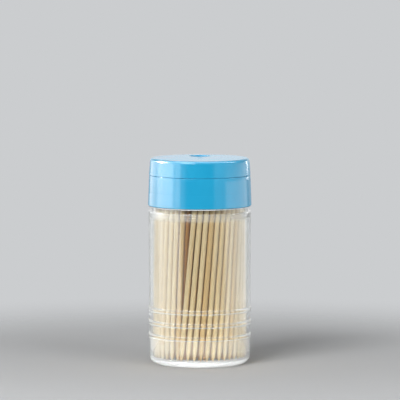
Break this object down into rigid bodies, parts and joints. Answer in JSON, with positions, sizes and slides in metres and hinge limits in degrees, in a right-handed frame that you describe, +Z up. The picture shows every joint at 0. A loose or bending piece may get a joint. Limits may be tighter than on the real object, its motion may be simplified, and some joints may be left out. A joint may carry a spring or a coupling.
{
  "type": "toothpick holder",
  "caption": "Clear round jar filled with wooden toothpicks, with grip ribs near its foot and a two-part blue cap whose upper dial turns to let picks out through a chute.",
  "frame": {"origin": "centre of the jar's foot ring, on the surface that it stands on", "axes": "+Z up along the jar's axis, -Y the front in the picture"},
  "size_m": [0.0406, 0.0406, 0.0805],
  "materials": {
    "clear_polystyrene": "clear moulded, glossy",
    "blue_polypropylene": "moulded, satin to glossy",
    "birch": "turned and tumbled bare wood"
  },
  "bodies": {
    "jar": {"jar": "clear_polystyrene", "toothpick_01": "birch", "toothpick_02": "birch", "toothpick_03": "birch", "toothpick_04": "birch", "toothpick_05": "birch", "toothpick_06": "birch", "toothpick_07": "birch", "toothpick_08": "birch", "toothpick_09": "birch", "toothpick_10": "birch", "toothpick_11": "birch", "toothpick_12": "birch", "toothpick_13": "birch", "toothpick_14": "birch", "toothpick_15": "birch", "toothpick_16": "birch", "toothpick_17": "birch", "toothpick_18": "birch", "toothpick_19": "birch", "toothpick_20": "birch", "toothpick_21": "birch", "toothpick_22": "birch", "toothpick_23": "birch", "toothpick_24": "birch", "toothpick_25": "birch", "toothpick_26": "birch", "toothpick_27": "birch", "toothpick_28": "birch", "toothpick_29": "birch", "toothpick_30": "birch", "toothpick_31": "birch", "toothpick_32": "birch", "toothpick_33": "birch", "toothpick_34": "birch", "toothpick_35": "birch", "toothpick_36": "birch", "toothpick_37": "birch", "toothpick_38": "birch", "toothpick_39": "birch", "toothpick_40": "birch", "toothpick_41": "birch", "toothpick_42": "birch", "toothpick_43": "birch", "toothpick_44": "birch", "toothpick_45": "birch", "toothpick_46": "birch", "toothpick_core": "birch"},
    "collar": {"cap_collar": "blue_polypropylene"},
    "dial": {"cap_dial": "blue_polypropylene"}
  },
  "joints": [
    {"name": "cap_lift", "type": "slide", "parent": "jar", "child": "collar", "axis": [0, 0, 1], "range_m": [0, 0.02]},
    {"name": "dial_turn", "type": "hinge", "parent": "collar", "child": "dial", "pos_m": [0, 0, 0.0775], "axis": [0, 0, 1], "continuous": true}
  ]
}
